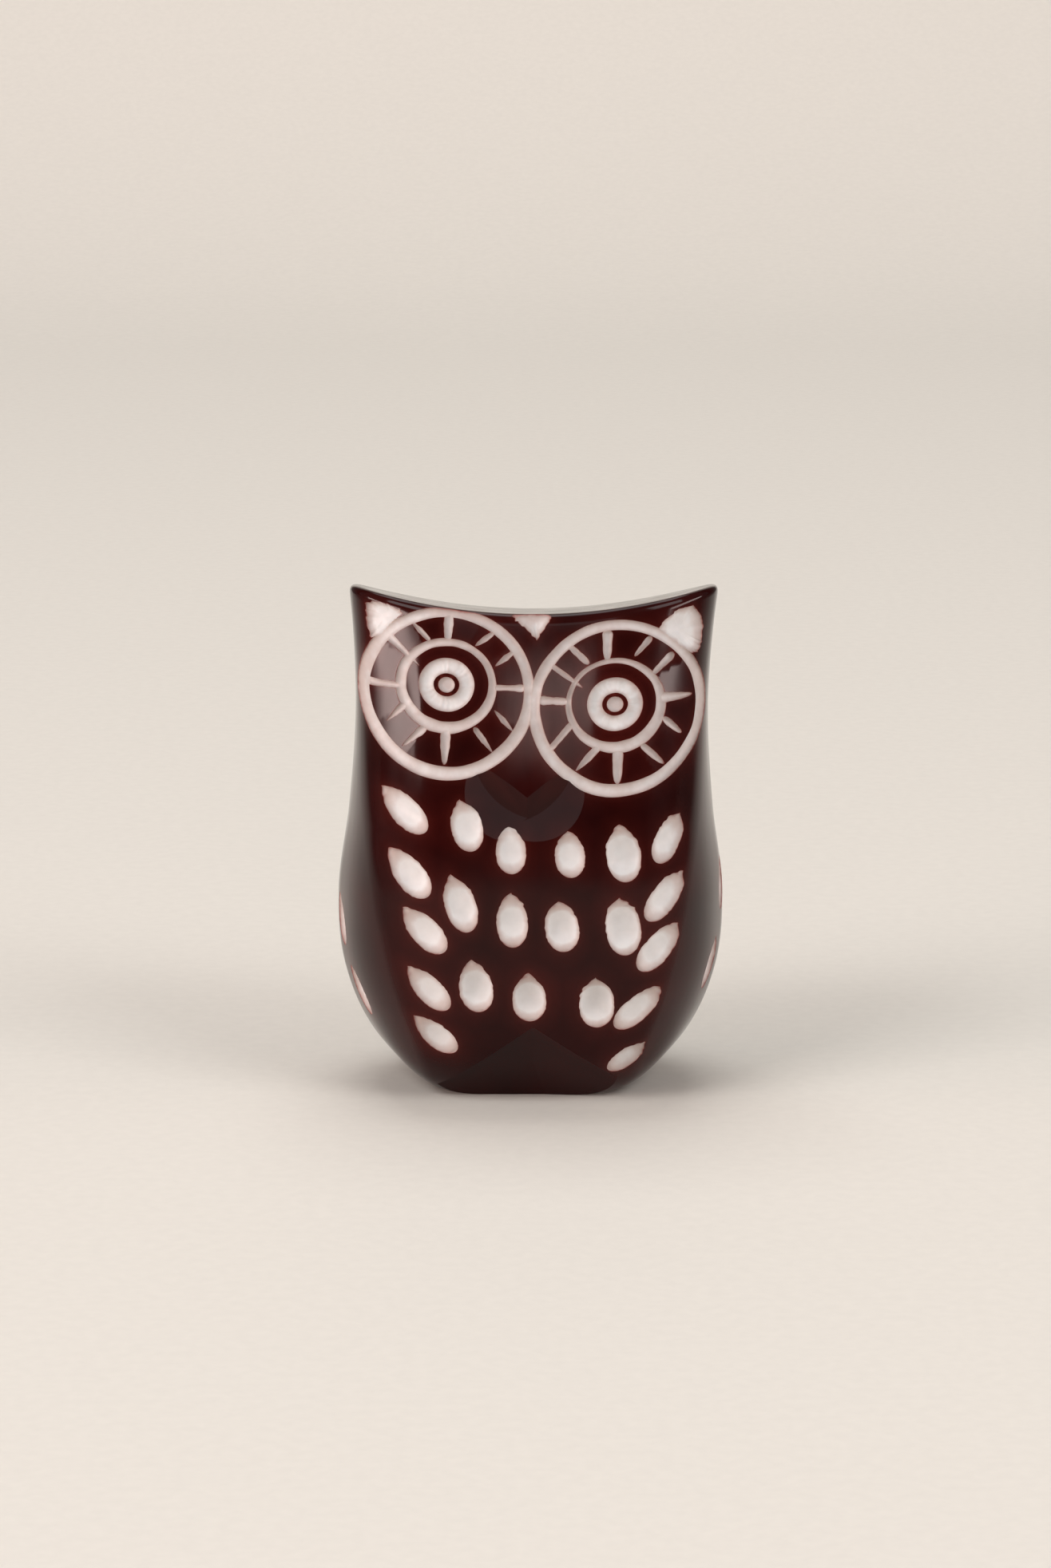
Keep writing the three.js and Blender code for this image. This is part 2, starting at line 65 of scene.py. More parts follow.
# Sizes as (height, size) pairs, joined by smooth curves. CREASE is how far out the crease beside the face is.
HALF_WIDTH = [(0, 8.6), (4, 12.35), (9, 14.55), (15, 15.1), (22, 14.25), (30, 13.75), (36, 13.98), (41, 14.5)]
FRONT = [(0, 7.3), (4, 9.8), (9, 11.4), (15, 12.0), (22, 11.6), (30, 10.4), (36, 9.2), (41, 8.0)]
BACK = [(0, 7.0), (4, 9.2), (9, 11.2), (15, 12.0), (22, 11.3), (30, 9.4), (36, 7.6), (41, 6.4)]
CREASE = [(0, 7.4), (5, 8.6), (9, 9.9), (15, 11.3), (21, 12.2), (28, 13.0), (35, 13.7), (41, 14.4)]
FRONT_POWER = 3.0                # how square the blank is, seen from above: 2 would be an ellipse
BACK_POWER = 2.5
TOP_MIDDLE = 38.7                # height of the top at the middle of the face
TOP_FRONT = 8.8                  # how far in front of the axis that height is measured
TOP_SLOPE = math.radians(8.5)    # the top falls towards the back
EAR_RISE = 2.2                   # how much higher the ears are
EAR_X = 14.0
LEAN = 0.3                       # how far the head drifts aside
TALLEST = 41.0
TOP_ROUND = 0.8
BASE_ROUND = 2.0
CREASE_ROUND = 0.4
CREASE_FLAT = 0.55               # how far the side is flattened from the crease to its widest line
CREASE_MARGIN = 0.05             # the least distance from the crease to the widest line
SIDE_BULGE = 0.15                # how far the flattened side stands out
WALL_RUN = 2.0                   # how far the wall without its ends runs on below the base
CENTRE = np.array([0.0, 0.0, 18.0])    # a ray from here leaves the blank only once

DYE_DEPTH = 0.12                 # thickness of the visible dark skin
POLISHED, CUT, FACET = 0, 1, 2   # material slots: the blank's skin, the carving and the shaping cuts
NEAR_SURFACE = 0.03              # how near the blank's surface counts as on it
FACET_EDGE = math.radians(5)     # shaping facets meet in a sharp edge from this angle on
CUT_EDGE = math.radians(38)
NOT_DOWNWARDS = -0.02            # least upward part of the normal of a dish's face

# Rings as centre and half sizes in x and z. A width is its mean, its swing and where it is widest in degrees.
# A ray runs between two points measured from the iris centre, with its width at the start, middle and end.
EYES = {
    "left": {
        "ring": (-6.45, 32.75, 6.35, 6.05),
        "ring_width": (0.95, 0.13, 235),
        "iris": (-6.4, 33.35, 3.52, 3.2),
        "iris_width": (0.75, 0.2, 232),
        "rays": [
            (0.1, 3.3, 0.21, 5.35, 0.56, 0.72, 0.7), (2.2, 2.95, 3.72, 4.0, 0.2, 0.46, 0.3),
            (3.72, 1.45, 5.3, 2.65, 0.15, 0.48, 0.3), (3.5, -0.15, 6.0, -0.2, 0.5, 0.42, 0.7),
            (3.66, -1.85, 5.05, -3.4, 0.15, 0.46, 0.15), (2.1, -3.15, 3.5, -5.0, 0.45, 0.46, 0.15),
            (-0.05, -3.2, -0.17, -6.0, 0.85, 0.7, 0.4), (-1.6, -3.2, -3.4, -4.8, 0.75, 0.5, 0.2),
            (-3.2, -1.6, -4.6, -3.05, 0.75, 0.42, 0.12), (-3.4, -0.25, -6.3, -0.27, 0.5, 0.54, 0.66),
            (-2.1, 1.35, -4.8, 3.7, 0.15, 0.5, 0.8), (-1.25, 3.25, -2.7, 4.65, 0.35, 0.44, 0.15),
        ],
        "fields": [("side", 9, 10), ("upper", 10, 15), ("lower", 3, 9)],
    },
    "right": {
        "ring": (6.7, 31.6, 6.4, 6.2),
        "ring_width": (0.88, 0.12, 250),
        "iris": (6.45, 31.9, 3.54, 3.26),
        "iris_width": (0.63, 0.27, 305),
        "rays": [
            (-0.6, 3.25, -0.56, 5.55, 0.55, 0.68, 0.95), (1.5, 3.55, 2.8, 4.95, 0.25, 0.46, 0.55),
            (2.9, 2.15, 4.5, 3.6, 0.45, 0.56, 0.66), (3.5, 0.3, 5.95, 0.25, 0.9, 0.62, 0.3),
            (3.7, -1.2, 5.1, -2.55, 0.5, 0.52, 0.3), (2.0, -3.1, 3.75, -4.7, 0.6, 0.52, 0.3),
            (0.23, -3.35, 0.17, -6.0, 0.85, 0.8, 0.55), (-1.1, -3.0, -3.0, -4.95, 0.65, 0.56, 0.2),
            (-3.2, -1.3, -5.1, -3.5, 0.6, 0.5, 0.45), (-3.5, 0.25, -5.85, 0.36, 0.6, 0.56, 0.8),
            (-2.5, 1.3, -5.2, 3.2, 0.2, 0.42, 0.4), (-2.0, 3.05, -3.8, 4.7, 0.5, 0.52, 0.4),
        ],
        "fields": [("lower_side", 8, 9), ("side", 9, 10), ("main", 10, 20)],
    },
}
RING_SHARE = 0.97                     # a loose piece inside this share of a ring belongs to that eye
FIELD_FLATNESS = 0.55                 # how flat the fields between the rays are polished
FIELD_TIPS = {                        # upward tip in degrees of the clock sectors that catch the light
    ("left", 7): 3.0, ("left", 8): 5.5, ("left", 9): 5.5, ("left", 10): 1.5,
    ("right", 2): 5.5, ("right", 3): 2.5,
}
GROOVE_DEPTH = 0.36
FINE_GROOVE_DEPTH = GROOVE_DEPTH * 0.9
PUPIL_GROOVE = (1.56, 0.58, 0.42)     # radius, half width, depth
PUPIL_DOT = (0.64, 0.3)               # radius, depth
PUPIL_SQUASH = 0.92

# Breast seeds: x, z, length, width, lean of the tip to the right in degrees, how broken the tip is.
# A wing seed is y, z and lean. A row on the back is its height, its number of seeds and their spacing.
BREAST_SEEDS = [
    (-9.8, 23.8, 5.2, 2.3, -53, 0.4), (-9.4, 19.0, 4.9, 2.4, -45, 0.5), (-8.2, 14.6, 4.7, 2.3, -45, 0.5),
    (-7.9, 9.9, 4.6, 2.2, -42, 0.5), (-7.4, 6.0, 4.4, 2.2, -44, 0.3),
    (-4.9, 22.8, 4.1, 2.4, -15, 0.6), (-5.4, 16.8, 4.7, 2.4, -18, 0.7), (-4.2, 10.2, 4.4, 2.6, -8, 0.5),
    (-1.5, 20.9, 3.6, 2.3, -4, 0.9), (-1.4, 15.5, 4.3, 2.4, -2, 0.7), (-0.1, 9.3, 4.1, 2.6, -3, 0.5),
    (3.0, 20.6, 3.6, 2.3, -6, 0.8), (2.4, 15.0, 4.0, 2.6, -8, 0.9), (5.1, 8.8, 4.3, 2.7, -4, 0.8),
    (7.1, 20.6, 4.5, 2.7, -8, 0.7), (7.1, 14.9, 4.6, 2.7, -9, 1.0),
    (10.6, 21.5, 4.3, 2.2, 34, 0.9), (10.4, 17.1, 4.8, 2.2, 43, 0.9), (9.9, 13.1, 4.7, 2.3, 43, 0.9),
    (8.3, 8.2, 4.7, 2.2, 46, 0.9), (7.5, 3.9, 3.7, 1.9, 43, 0.9),
]
LEFT_WING_SEEDS = [(-1.8, 13.3, 20), (-3.8, 8.0, 24), (0.9, 9.4, 18), (2.2, 18.4, 16), (3.6, 12.8, 20)]
RIGHT_WING_SEEDS = [(-0.9, 16.0, 14), (-3.0, 10.0, 20), (1.6, 11.2, 18), (2.4, 20.4, 14), (3.9, 15.0, 18)]
WING_SEED = (4.3, 2.2)
BACK_ROWS = [(22.5, 3, 5.4), (16.5, 4, 5.0), (10.5, 3, 5.4)]
BACK_SEED = (4.2, 2.4)
HALF_BROKEN = 0.5             # how broken the tips of the wing and back seeds are
SEED_GOUGE = 1.55             # radius of the gouge that scoops a seed

# Outlines of the broken cuts on the front, as x and z.
LEFT_EAR = [(-12.7, 39.0), (-12.1, 39.25), (-11.3, 39.2), (-10.4, 39.0), (-9.7, 38.6), (-10.6, 37.8),
            (-11.5, 36.6), (-12.2, 36.4), (-12.6, 37.4)]
RIGHT_EAR = [(12.5, 38.95), (13.0, 38.3), (13.25, 37.4), (13.2, 36.1), (12.9, 35.3), (12.4, 35.2),
             (11.6, 35.8), (10.0, 37.0), (9.75, 37.4), (10.2, 38.0), (11.3, 38.8)]
BROW = [(-1.65, 38.6), (-1.5, 40.5), (1.6, 40.5), (1.7, 38.5), (1.15, 37.7), (0.5, 36.7), (-0.5, 37.7)]
GOUGE_DEPTH = 0.55

# The dishes beside the beak come from two balls in front of the breast, and each stops at a wall of the beak.
BEAK_X = -0.55
BEAK_APART = 0.95                     # from BEAK_X to the middle of each dish
BEAK_Z = 25.3
BEAK_RADIUS = 15.0
BEAK_WIDTH = 4.05                     # radius of a dish on the breast
DISH_BOTTOM = 15.0                    # shaping facets above this height belong to the dishes
DISH_FACING = (0.0, -0.958, 0.286)    # they are polished nearly flat and look a little upwards
BEAK_RIDGE_TOP = (-0.25, -11.22, 24.8)
BEAK_TIP = (-0.25, -11.0, 22.2)
BEAK_SHOULDER = (1.85, -10.97, 26.5)

# The notch between the feet: its outline as x and z, and points on its valley planes and its middle facet.
FOOT_APEX = (0.2, 6.8)
FOOT_CORNERS = [(-7.6, 0.9), (7.2, 1.75)]
FOOT_BELOW = [(-9, -1), (9, -1)]
VALLEY_TOP = (0.2, -10.8, 6.7)
VALLEY_FOOT = (0.2, -5.4, 0)
FOOT_LEFT = (-7.2, -6.67, 1.2)
FOOT_RIGHT = (6.7, -7.9, 2.1)
FACET_TOP = (0.2, -8.14, 3.4)
FACET_FOOT = (0.2, -5.52, 0)
FACET_ASIDE = (3, -5.52, 0)

# ---------- sizes of the cutters and the meshes ----------

LIFT = 0.6                # how far a cutter stands out of the surface
LIP = 0.02                # how far above the surface the edge of a cut starts
GROOVE_OVERHANG = 1.15    # half width of a groove's cutter above the surface, as a share of the groove's
SEED_OVERHANG = 1.1
SEED_SUNK = 4             # the rays that lay a seed on the surface start this far inside it
SEED_RAY = 9.0            # and are this long
SCOOP_REACH = 8.0         # radius of the cap of the ball that dishes the breast
SCOOP_FRONT = 12          # how far that cutter runs out in front
BLOCK = 40.0              # half width of the blocks that stand for half spaces
PRISM_LENGTH = 30
FAR = 60.0                # a ray this long always leaves the blank
HALVINGS = 30
EDGE_STEPS = 12           # rounds in which the top edge settles
SKIN_GRID = (340, 170)    # columns and rows of the skin's surface
CORE_GRID = (170, 90)
FRONT_SHARE = 0.6         # the share of the columns that is on the front


# ---------- the shape of the blank, as a field that is negative inside ----------

def size_at(pairs, z):
    """Smooth curve through (height, size) pairs."""
    heights, sizes = np.array(pairs, float).T
    slopes = np.diff(sizes) / np.diff(heights)
    tangents = np.concatenate([slopes[:1], (slopes[1:] + slopes[:-1]) / 2, slopes[-1:]])
    z = np.clip(z, heights[0], heights[-1])
    i = np.clip(np.searchsorted(heights, z, side="right") - 1, 0, len(heights) - 2)
    span = heights[i + 1] - heights[i]
    u = (z - heights[i]) / span
    start = (1 + 2 * u) * (1 - u) ** 2 * sizes[i] + u * (1 - u) ** 2 * span * tangents[i]
    return start + u * u * (3 - 2 * u) * sizes[i + 1] + u * u * (u - 1) * span * tangents[i + 1]


def soft_max(a, b, width):
    """The larger of two fields, rounded where they are nearly equal."""
    h = np.clip(0.5 + 0.5 * (a - b) / width, 0, 1)
    return b + (a - b) * h + width * h * (1 - h)


def plane(a, b, c, hint):
    """A point on the plane through three points, and its normal on the side that the hint points to."""
    a, b, c = (np.array(v, float) for v in (a, b, c))
    normal = np.cross(b - a, c - a)
    normal /= np.linalg.norm(normal)
    return a, normal if normal @ np.array(hint) > 0 else -normal


def saddle_at(x, y):
    """Height of the top."""
    return TOP_MIDDLE + EAR_RISE * (x / EAR_X) ** 2 - math.tan(TOP_SLOPE) * (y + TOP_FRONT)


def body_field(points, inset=0.0, open_top=False):
    """The blank before the beak and feet are shaped. With open_top the wall runs on past both of its ends."""
    y, z = points[:, 1], points[:, 2]
    x = points[:, 0] - LEAN * (np.clip(z, 0, TALLEST) / TALLEST) ** 3
    width, front = size_at(HALF_WIDTH, z), size_at(FRONT, z)
    depth = np.where(y < 0, front, size_at(BACK, z))
    power = np.where(y < 0, FRONT_POWER, BACK_POWER)
    radius = np.maximum(np.hypot(x, y), 1e-9)
    never_zero = 1e-40
    scale = ((np.abs(x) / width) ** power + (np.abs(y) / depth) ** power + never_zero) ** (1 / power)
    field = np.where(radius < 0.001, -depth, radius * (1 - 1 / scale))
    crease = np.minimum(size_at(CREASE, z), width - CREASE_MARGIN)
    crease_depth = front * (1 - (crease / width) ** FRONT_POWER) ** (1 / FRONT_POWER)
    run = width - crease
    side = ((np.abs(x) - width - SIDE_BULGE) * crease_depth - y * run) / np.hypot(crease_depth, run)
    field = field + CREASE_FLAT * (soft_max(field, side, CREASE_ROUND) - field) + inset
    if not open_top:
        field = soft_max(field, (z - saddle_at(x, y)) * math.cos(TOP_SLOPE) + inset, TOP_ROUND)
    return soft_max(field, -z - WALL_RUN if open_top else -z + inset, BASE_ROUND)


def from_inside(field, origins, directions, reach=FAR):
    """Where rays leave the solid, by halving."""
    near, far = np.zeros(len(origins)), np.full(len(origins), reach)
    for _ in range(HALVINGS):
        middle = (near + far) / 2
        inside = field(origins + directions * middle[:, None]) < 0
        near, far = np.where(inside, middle, near), np.where(inside, far, middle)
    return origins + directions * near[:, None]


def unit(vectors):
    return vectors / np.maximum(np.linalg.norm(vectors, axis=-1, keepdims=True), 1e-12)


def gradient(field, points, step=0.01):
    """Outward directions of a field at some points."""
    axes = np.eye(3) * step
    return unit(np.stack([field(points + a) - field(points - a) for a in axes], -1))


def wall_field(points):
    return body_field(points, open_top=True)


def on_wall(x, z):
    """The point of the front wall straight ahead of a point on the middle plane."""
    return from_inside(wall_field, np.array([[x, 0.0, z]]), np.array([[0.0, -1.0, 0.0]]))[0]


def beak_shapes():
    """For each side of the beak: the middles of the dish and its ball, and the plane of the beak's wall."""
    shapes = []
    for side in (-1, 1):
        front = on_wall(BEAK_X + side * BEAK_APART, BEAK_Z)
        outward = gradient(wall_field, front[None])[0]
        ball = front + outward * math.sqrt(BEAK_RADIUS ** 2 - BEAK_WIDTH ** 2)
        shoulder = (BEAK_RIDGE_TOP[0] + side * (BEAK_SHOULDER[0] - BEAK_RIDGE_TOP[0]), *BEAK_SHOULDER[1:])
        shapes.append((front, ball, plane(BEAK_RIDGE_TOP, BEAK_TIP, shoulder, (side, -0.2, -0.3))))
    return shapes


BEAK = beak_shapes()


def dished_field(points):
    """The wall with the dishes beside the beak."""
    field = wall_field(points)
    for _, ball, (origin, normal) in BEAK:
        dish = np.minimum(BEAK_RADIUS - np.linalg.norm(points - ball, axis=1), (points - origin) @ normal)
        field = np.where(points[:, 1] < 0, np.maximum(field, dish), field)
    return field


# ---------- meshes ----------

def mesh_object(name, points, faces):
    """An object from points in millimetres."""
    mesh = bpy.data.meshes.new(name)
    mesh.from_pydata((np.asarray(points) * MM).tolist(), [], [list(face) for face in faces])
    mesh.validate()
    piece = bpy.data.objects.new(name, mesh)
    bpy.context.scene.collection.objects.link(piece)
    return piece


def strip_faces(rows, columns):
    """Quads of a grid stored row by row, its columns running round and closing on themselves."""
    i, j = np.meshgrid(np.arange(rows - 1), np.arange(columns), indexing="ij")
    i, j = i.ravel(), j.ravel()
    k = (j + 1) % columns
    low, high = i * columns, (i + 1) * columns
    return np.stack([low + j, low + k, high + k, high + j], -1).tolist()


def blank_mesh(name, inset, columns, rows):
    """The closed surface of the blank, in rows from the base's middle, up the wall, to the top's middle."""
    front_columns = round(columns * FRONT_SHARE)
    turn = np.concatenate([
        np.linspace(math.pi, 2 * math.pi, front_columns, endpoint=False),
        np.linspace(0, math.pi, columns - front_columns, endpoint=False),
    ])
    out = np.stack([np.cos(turn), np.sin(turn), np.zeros(columns)], -1)

    def wall(height):
        axis = np.stack([np.zeros(columns), np.zeros(columns), np.broadcast_to(height, columns)], -1)
        return from_inside(wall_field, axis, out)

    edge = np.full(columns, TOP_MIDDLE)
    for _ in range(EDGE_STEPS):
        rim = wall(edge)
        edge = saddle_at(rim[:, 0], rim[:, 1])
    rim = wall(edge)
    foot = wall(0.0)
    base_rows, top_rows = rows // 9, rows // 9 + rows // 10
    side_rows = rows - base_rows - top_rows
    # Rows are closer together towards the base edge and the top edge, where the surface turns.
    outwards = 1 - (1 - np.linspace(0.08, 1, base_rows, endpoint=False)) ** 1.6 * 0.99
    steps = np.linspace(0, 1, side_rows)
    upwards = np.clip(steps - 0.11 * np.sin(2 * math.pi * steps) / (2 * math.pi), 0, 1)
    inwards = 1 - np.linspace(0, 1, top_rows, endpoint=False) ** 1.5 * 0.97
    guides = [foot * (1, 1, 0) * part for part in outwards]
    guides += [wall(part * (edge - LIP)) for part in upwards]
    for part in inwards:
        guide = rim * (part, part, 1)
        guide[:, 2] = saddle_at(guide[:, 0], guide[:, 1])
        guides.append(guide)
    guides = np.concatenate(guides)
    count = len(guides) // columns
    start = np.broadcast_to(CENTRE, guides.shape)
    points = from_inside(lambda p: body_field(p, inset), start, unit(guides - start))
    poles = np.array([[0, 0, -1.0], [0, 0, 1.0]])
    ends = from_inside(lambda p: body_field(p, inset), np.broadcast_to(CENTRE, (2, 3)), poles)
    faces = strip_faces(count, columns)
    last = (count - 1) * columns
    for j in range(columns):
        k = (j + 1) % columns
        faces.append((len(points), k, j))
        faces.append((len(points) + 1, last + j, last + k))
    return mesh_object(name, np.concatenate([points, ends]), faces)


def wave(turn, count, highest):
    """Smooth wobble round a loop, between -1 and 1, from count orders up to the highest."""
    orders = np.arange(1, count + 1)
    size = rng.normal(size=count) / orders ** 0.5
    shift = rng.uniform(0, 2 * math.pi, count)
    total = (size * np.cos(np.outer(turn, orders * highest / count) + shift)).sum(1)
    return total / max(np.abs(total).max(), 1e-9)


def groove_section(count):
    """Across a groove: places, and heights from the lifted sides down to a rounded floor at -1."""
    angle = np.linspace(0, math.pi, count)
    across = np.concatenate([[-GROOVE_OVERHANG], -np.cos(angle), [GROOVE_OVERHANG]])
    height = np.concatenate([[LIFT], -np.sin(angle) ** 0.8, [LIFT]])
    height[[1, -2]] = LIP
    return across, height


def on_front(x, z):
    """Points of the front wall, carried on upwards past the head's edge, and their outward directions."""
    origins = np.stack([x, np.full_like(x, -1.0), z], -1)
    forwards = np.tile((0.0, -1.0, 0.0), (len(x), 1))
    points = from_inside(wall_field, origins, forwards)
    return points, gradient(wall_field, points)


def sweep_cutter(sections, closed):
    """A solid from equal closed sections, each a row of points, with capped ends unless it is a ring."""
    sections = np.asarray(sections)
    rows, columns = sections.shape[:2]
    faces = strip_faces(rows, columns)
    if closed:
        last = (rows - 1) * columns
        faces += [(last + j, last + (j + 1) % columns, (j + 1) % columns, j) for j in range(columns)]
    else:
        faces.append(tuple(range(columns))[::-1])
        faces.append(tuple((rows - 1) * columns + j for j in range(columns)))
    return sections.reshape(-1, 3), faces


def cut_on_front(x, z, heights, closed):
    """A solid from a grid of places on the front, each row a section, and heights above the surface."""
    points, outward = on_front(x.ravel(), z.ravel())
    points = points + outward * heights.reshape(-1, 1)
    return sweep_cutter(points.reshape(*x.shape, 3), closed)


def add_slots(piece):
    for _ in (POLISHED, CUT, FACET):
        piece.data.materials.append(None)


def joined_cutter(name, solids, slot=CUT):
    """One object from separate solids, turned right side out, its faces in one material slot."""
    points, faces, start = [], [], 0
    for solid_points, solid_faces in solids:
        solid_points = np.asarray(solid_points)
        flip = signed_volume(solid_points, solid_faces) < 0
        for face in solid_faces:
            faces.append([start + corner for corner in (face[::-1] if flip else face)])
        points.append(solid_points)
        start += len(solid_points)
    piece = mesh_object(name, np.concatenate(points), faces)
    add_slots(piece)
    piece.data.polygons.foreach_set("material_index", np.full(len(piece.data.polygons), slot, np.int32))
    return piece


def signed_volume(points, faces):
    """Six times the volume, negative if the faces look inwards."""
    total = 0.0
    for face in faces:
        origin = points[face[0]]
        for i in range(1, len(face) - 1):
            total += origin @ np.cross(points[face[i]], points[face[i + 1]])
    return total


def boolean(target, tool, operation="DIFFERENCE"):
    """Cut a mesh with another, with the new faces in the tool's slot."""
    step = target.modifiers.new("cut", "BOOLEAN")
    step.operation = operation
    step.solver = "MANIFOLD"
    step.material_mode = "INDEX"
    step.object = tool
    shaped = bpy.data.meshes.new_from_object(target.evaluated_get(bpy.context.evaluated_depsgraph_get()))
    target.modifiers.clear()
    target.data = shaped


# ---------- cutters ----------

def oval_groove(oval, half_width, depth, wobble, samples=168):
    """A groove round an oval drawn on the front. half_width is a function of the angle."""
    x, z, rx, rz = oval
    turn = np.linspace(0, 2 * math.pi, samples, endpoint=False)
    half = half_width(turn)
    shift = wobble * wave(turn, 9, 9)
    across, height = groove_section(13)
    reach = half[:, None] * across + shift[:, None]
    rough = 1 + 0.1 * wave(turn, 14, 30)
    shallower = (half / half.max())[:, None] ** 0.4
    heights = np.where(height < 0, height * depth * rough[:, None] * shallower, height)
    px = x + (rx + reach) * np.cos(turn)[:, None]
    pz = z + (rz + reach) * np.sin(turn)[:, None]
    return cut_on_front(px, pz, heights, closed=True)


def ray_groove(eye, ray, samples=22):
    """A hand-cut ray, which thins out and rises towards both of its ends."""
    start, end, widths = np.array(ray[:2]), np.array(ray[2:4]), ray[4:]
    middle = np.array(eye["iris"][:2])
    part = np.linspace(0, 1, samples)
    rounding = np.sqrt(np.clip(1 - (np.abs(part - 0.5) * 2) ** 6, 0, 1))
    half = np.interp(part, [0, 0.5, 1], widths) / 2 * np.maximum(rounding, 0.35)
    half = np.maximum(half, 0.03) * (1 + 0.08 * wave(part * 6, 5, 5))
    across, height = groove_section(9)
    way = (end - start) / np.linalg.norm(end - start)
    thin = np.clip(half / 0.3, 0.25, 1) ** 0.7
    depth = FINE_GROOVE_DEPTH * thin * np.clip(np.sin(part * math.pi) * 3 + 0.3, 0, 1)
    heights = np.where(height < 0, height * depth[:, None], height)
    reach = half[:, None] * across
    along = middle + start + (end - start) * part[:, None]
    return cut_on_front(along[:, :1] - way[1] * reach, along[:, 1:] + way[0] * reach, heights, closed=False)


def bowl_cut(x, z, rx, rz, depth, samples=48):
    """A round dish."""
    turn = np.linspace(0, 2 * math.pi, samples, endpoint=False)
    rings = [(1.12, LIFT), (1.0, LIP), (0.97, -0.3), (0.9, -0.7), (0.75, -0.92), (0.45, -1.0), (0.15, -1.0)]
    part, height = np.array(rings).T[:, :, None]
    heights = np.broadcast_to(np.where(height < 0, height * depth, height), (len(rings), samples))
    return cut_on_front(x + rx * part * np.cos(turn), z + rz * part * np.sin(turn), heights, closed=False)


def seed_outline(part, blunt):
    """Half width of a seed, from the round bottom at 0 to the tip at 1, as a share of the widest."""
    widest = 0.4
    bottom = np.sqrt(np.clip(1 - ((widest - part) / widest) ** 2, 0, 1))
    top = 1 - np.clip((part - widest) / (1 - widest), 0, 1) ** (1.8 + 1.7 * blunt)
    return np.where(part < widest, bottom, top)


def seed_cutter(inside, direction, length, width, lean, broken, samples=34):
    """A scoop shaped like a seed, wrapped on to the surface, with a broken tip."""
    anchor = from_inside(dished_field, np.array([inside], float), np.array([direction], float))
    outward = gradient(wall_field, anchor)[0]
    up = unit(np.array([0, 0, 1.0]) - outward * outward[2])
    side = np.cross(up, outward)
    angle = math.radians(lean)
    tip_way = up * math.cos(angle) + side * math.sin(angle)
    across_way = side * math.cos(angle) - up * math.sin(angle)
    part = (1 - np.cos(np.linspace(0, math.pi, samples))) / 2
    half = width / 2 * seed_outline(part, broken)
    jag = 0.17 * (np.clip((part - 0.55) / 0.3, 0, 1) * broken)

    def chipped_half():
        ripple = 1 + 0.015 * rng.normal(size=samples)
        return np.maximum(half * ripple + jag * wave(part * 9, 6, 6), 0.03)

    left, right = chipped_half(), chipped_half()
    widest = np.minimum(half, SEED_GOUGE * 0.95)
    depth = SEED_GOUGE - np.sqrt(SEED_GOUGE ** 2 - widest ** 2)
    depth = np.maximum(depth, 0.1 * np.clip(half * 4, 0, 1)) * 1.08 + 0.02
    place = -np.cos(np.linspace(0, math.pi, 15))
    across = np.concatenate([[-SEED_OVERHANG], place, [SEED_OVERHANG]])
    sink = np.concatenate([[0], np.sqrt(np.clip(1 - place ** 2, 0, 1)) ** 1.1, [0]])
    reach = np.where(across < 0, left[:, None] * across, right[:, None] * across)
    along = (part - 0.5) * length
    flat = anchor + across_way * reach.reshape(-1, 1) + tip_way * np.repeat(along, len(across))[:, None]
    inside = flat - outward * SEED_SUNK
    points = from_inside(dished_field, inside, np.tile(outward, (len(flat), 1)), SEED_RAY)
    heights = -depth[:, None] * sink
    heights[:, [1, -2]] = LIP
    heights[:, [0, -1]] = LIFT
    points = points + outward * heights.reshape(-1, 1)
    return sweep_cutter(points.reshape(samples, len(across), 3), closed=False)


def gouged_patch(outline, depth):
    """A broken, faceted cut inside an outline drawn on the front."""
    corners = np.array(outline, float)
    dense = []
    for a, b in zip(corners, np.roll(corners, -1, axis=0)):
        steps = max(2, int(np.linalg.norm(b - a) / 0.16))
        dense += [a + (b - a) * i / steps for i in range(steps)]
    middle = np.array(dense).mean(0)
    dense = dense + rng.normal(scale=0.035, size=(len(dense), 2))
    rings = [
        (1.04, LIFT), (1.0, 0.03), (0.93, -0.3), (0.78, -0.62), (0.56, -0.85), (0.3, -0.97), (0.08, -1.0),
    ]
    sections = []
    for part, height in rings:
        ring = middle + (dense - middle) * part
        points, outward = on_front(ring[:, 0], ring[:, 1])
        ripple = 0.1 * np.sin(ring @ (2.6, 1.9) + 1.0) + 0.06 * np.sin(ring @ (-3.9, 4.6))
        sections.append(points + outward * (height if height > 0 else height * depth * (1 + ripple[:, None])))
    return sweep_cutter(sections, closed=False)


# ---------- shaping cuts, which the dye covers ----------

def box_beyond(flat, inset):
    """A big block on the outer side of a plane."""
    origin, normal = flat
    across = unit(np.cross(normal, (0.3, 0.1, 1.0)))
    up = np.cross(normal, across)
    corners = [(-1, -1, 0), (1, -1, 0), (1, 1, 0), (-1, 1, 0), (-1, -1, 1), (1, -1, 1), (1, 1, 1), (-1, 1, 1)]
    points = [origin - normal * inset + BLOCK * (a * across + b * up + c * normal) for a, b, c in corners]
    faces = [(0, 3, 2, 1), (4, 5, 6, 7), (0, 1, 5, 4), (1, 2, 6, 5), (2, 3, 7, 6), (3, 0, 4, 7)]
    return joined_cutter("block", [(np.array(points), faces)], slot=FACET)


